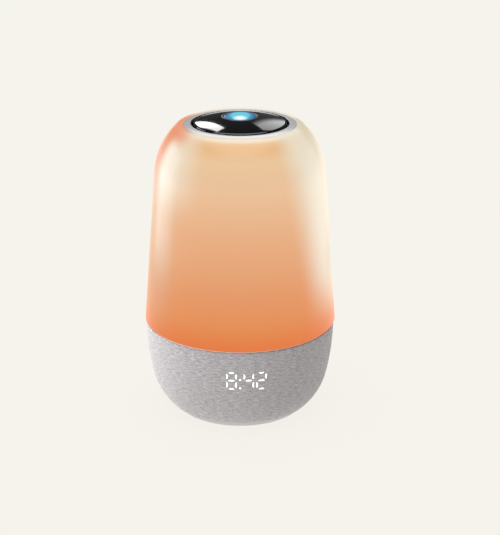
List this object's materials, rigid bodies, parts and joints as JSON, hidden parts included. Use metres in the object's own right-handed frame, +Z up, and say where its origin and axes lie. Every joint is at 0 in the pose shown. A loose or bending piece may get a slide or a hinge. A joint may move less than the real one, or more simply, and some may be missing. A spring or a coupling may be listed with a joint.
{
  "type": "white noise sound machine",
  "caption": "Bedside sound machine: fabric covered bowl with a clock behind the fabric, a glowing tapered shade, and a domed top key with a lit lens.",
  "frame": {"origin": "centre of the footprint, on the plane the rubber feet stand on", "axes": "+Z up the symmetry axis to the dome; -Y to the clock face; +X to the right as the clock is read"},
  "size_m": [0.114, 0.114, 0.1802],
  "materials": {
    "rubber_grey": "matte",
    "cover_grey": "satin",
    "housing_grey": "matte",
    "fabric_grey": "heather knit",
    "shade_cream": "satin, translucent",
    "inner_white": "matte",
    "ring_silver": "satin plated",
    "dome_black": "polished",
    "lens_blue": "frosted, lit",
    "lens_band": "satin",
    "key_grey": "satin",
    "segment_white": "lit",
    "board_green": "solder mask",
    "chip_black": "matte",
    "connector_white": "matte",
    "can_aluminium": "satin",
    "led_yellow": "diffuse",
    "screw_steel": "zinc plated",
    "basket_black": "satin",
    "ferrite": "matte",
    "cone_paper": "matte",
    "surround_rubber": "matte",
    "spider_cloth": "corrugated",
    "coil_metal": "wound wire",
    "cable_grey": "satin",
    "socket_black": "matte"
  },
  "bodies": {
    "base": {"rubber_feet": "rubber_grey", "bottom_cover": "cover_grey", "cover_screws": "screw_steel", "base_housing": "housing_grey", "fabric_sleeve": "fabric_grey", "speaker_gasket": "surround_rubber", "speaker_basket": "basket_black", "speaker_screws": "screw_steel", "speaker_top_plate": "screw_steel", "speaker_magnet": "ferrite", "speaker_yoke": "screw_steel", "speaker_surround": "surround_rubber", "speaker_spider": "spider_cloth", "main_board": "board_green", "processor_chip": "chip_black", "amplifier_chip": "chip_black", "capacitors": "can_aluminium", "board_connectors": "connector_white", "display_mask": "chip_black", "display_segments": "segment_white", "display_board": "board_green", "control_panel": "key_grey", "key_board": "board_green", "key_switches": "chip_black", "dc_socket": "socket_black", "socket_nut": "screw_steel", "socket_bezel": "key_grey", "deck": "inner_white", "deck_screws": "screw_steel", "led_board": "inner_white", "leds": "led_yellow", "column": "inner_white", "column_screws": "screw_steel", "lamp_shade": "shade_cream", "silver_ring": "ring_silver", "top_carrier": "dome_black", "top_board": "board_green", "dome_switches": "chip_black", "projector_led": "led_yellow", "projector_barrel": "socket_black", "return_pads": "surround_rubber", "board_screws": "screw_steel", "display_cable": "cable_grey", "key_cable": "cable_grey", "led_cable": "cable_grey", "top_cable": "cable_grey", "speaker_leads": "cable_grey", "socket_leads": "cable_grey"},
    "cone": {"voice_coil": "coil_metal", "speaker_cone": "cone_paper", "dust_cap": "cone_paper"},
    "dome": {"dome_key": "dome_black", "lens_ring": "lens_band", "dome_lens": "lens_blue"},
    "power_key_body": {"power_key": "cover_grey"},
    "volume_down_key_body": {"volume_down_key": "cover_grey"},
    "sound_key_body": {"sound_key": "cover_grey"},
    "volume_up_key_body": {"volume_up_key": "cover_grey"},
    "light_key_body": {"light_key": "cover_grey"}
  },
  "joints": [
    {"name": "dome_press", "type": "slide", "parent": "base", "child": "dome", "axis": [0, 0, -1], "range_m": [0, 0.0008], "stiffness_N_per_m": 1500, "springref_m": -0.0008, "deforming": ["return_pads"]},
    {"name": "cone_travel", "type": "slide", "parent": "base", "child": "cone", "axis": [0, 0, 1], "range_m": [-0.0005, 0.0005], "stiffness_N_per_m": 1500, "deforming": ["speaker_surround", "speaker_spider"]},
    {"name": "power_key_press", "type": "slide", "parent": "base", "child": "power_key_body", "axis": [0, -1, 0], "range_m": [0, 0.0005], "stiffness_N_per_m": 800, "springref_m": -0.0005},
    {"name": "volume_down_key_press", "type": "slide", "parent": "base", "child": "volume_down_key_body", "axis": [0, -1, 0], "range_m": [0, 0.0005], "stiffness_N_per_m": 800, "springref_m": -0.0005},
    {"name": "sound_key_press", "type": "slide", "parent": "base", "child": "sound_key_body", "axis": [0, -1, 0], "range_m": [0, 0.0005], "stiffness_N_per_m": 800, "springref_m": -0.0005},
    {"name": "volume_up_key_press", "type": "slide", "parent": "base", "child": "volume_up_key_body", "axis": [0, -1, 0], "range_m": [0, 0.0005], "stiffness_N_per_m": 800, "springref_m": -0.0005},
    {"name": "light_key_press", "type": "slide", "parent": "base", "child": "light_key_body", "axis": [0, -1, 0], "range_m": [0, 0.0005], "stiffness_N_per_m": 800, "springref_m": -0.0005}
  ]
}
